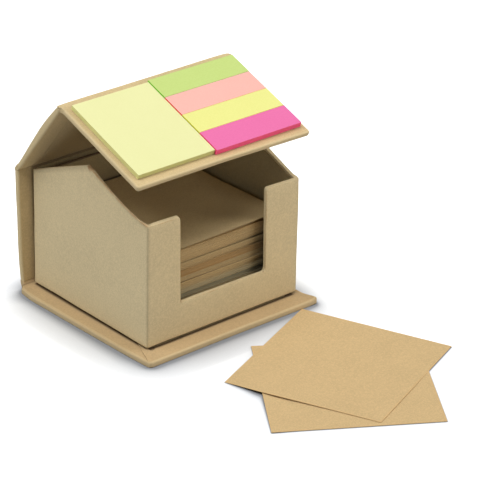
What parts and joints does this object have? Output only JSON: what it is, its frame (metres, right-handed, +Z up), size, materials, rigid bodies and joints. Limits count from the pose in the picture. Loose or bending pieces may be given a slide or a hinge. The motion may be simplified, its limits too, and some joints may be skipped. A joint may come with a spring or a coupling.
{
  "type": "memo box",
  "caption": "House-shaped memo box of kraft-wrapped board: a folding roof with sticky notes over a gabled tray of memo sheets, with loose sheets in front.",
  "frame": {"origin": "on the table under the middle of the base board", "axes": "+X right along the ridge seen from the front, +Y to the back board, +Z up"},
  "size_m": [0.1378, 0.2592, 0.1268],
  "materials": {
    "greyboard": "matte",
    "kraft_wrap": "matte",
    "kraft_liner": "matte",
    "memo_paper": "matte",
    "note_yellow": "matte",
    "marker_green": "matte",
    "marker_salmon": "matte",
    "marker_yellow": "matte",
    "marker_magenta": "matte",
    "backing_paper": "matte"
  },
  "bodies": {
    "base_and_tray": {"base_board": "greyboard", "base_wrap": "kraft_wrap", "base_liner": "kraft_liner", "spine_crease": "kraft_wrap", "tray_floor_board": "greyboard", "tray_left_wall": "greyboard", "tray_right_wall": "greyboard", "tray_front_wall": "greyboard", "tray_back_wall": "greyboard", "tray_wrap": "kraft_wrap", "tray_lining": "kraft_liner", "tray_floor_lining": "kraft_liner"},
    "back_panel": {"back_board": "greyboard", "back_wrap": "kraft_wrap", "back_liner": "kraft_liner", "eave_crease": "kraft_wrap"},
    "back_roof": {"back_roof_board": "greyboard", "back_roof_wrap": "kraft_wrap", "back_roof_liner": "kraft_liner"},
    "ridge_strip": {"ridge_crease": "kraft_wrap"},
    "front_roof": {"front_roof_board": "greyboard", "front_roof_wrap": "kraft_wrap", "front_roof_liner": "kraft_liner", "sticky_pad": "note_yellow", "sticky_pad_backing": "backing_paper", "marker_backing": "backing_paper", "marker_pad_green": "marker_green", "marker_pad_salmon": "marker_salmon", "marker_pad_yellow": "marker_yellow", "marker_pad_magenta": "marker_magenta"},
    "memo_stack": {"memo_stack": "memo_paper", "lower_top_sheet": "memo_paper", "upper_top_sheet": "memo_paper"},
    "loose_sheet_upper": {"loose_sheet_upper": "memo_paper"},
    "loose_sheet_lower": {"loose_sheet_lower": "memo_paper"}
  },
  "joints": [
    {"name": "spine_hinge", "type": "hinge", "parent": "base_and_tray", "child": "back_panel", "pos_m": [0, 0.059, 0], "axis": [-1, 0, 0], "range_deg": [0, 90], "deforming": ["spine_crease"]},
    {"name": "eave_hinge", "type": "hinge", "parent": "back_panel", "child": "back_roof", "pos_m": [0, 0.059, 0.07451], "axis": [-1, 0, 0], "range_deg": [-28.89, 38], "deforming": ["eave_crease"]},
    {"name": "ridge_fold", "type": "hinge", "parent": "back_roof", "child": "ridge_strip", "pos_m": [0, 0.01735, 0.12467], "axis": [-1, 0, 0], "range_deg": [-32.42, 24.65], "deforming": ["ridge_crease"]},
    {"name": "lid_hinge", "type": "hinge", "parent": "ridge_strip", "child": "front_roof", "pos_m": [0, 0.01303, 0.12383], "axis": [-1, 0, 0], "range_deg": [0, 95]},
    {"name": "stack_lift", "type": "slide", "parent": "base_and_tray", "child": "memo_stack", "axis": [0, 0, 1], "range_m": [0, 0.018]},
    {"name": "upper_sheet_slide", "type": "slide", "parent": "base_and_tray", "child": "loose_sheet_upper", "axis": [0, -1, 0], "range_m": [0, 0.06]},
    {"name": "lower_sheet_slide", "type": "slide", "parent": "base_and_tray", "child": "loose_sheet_lower", "axis": [0, -1, 0], "range_m": [0, 0.06]}
  ],
  "couplings": [
    {"joint": "ridge_fold", "follows": "eave_hinge", "ratio": -0.85295}
  ]
}
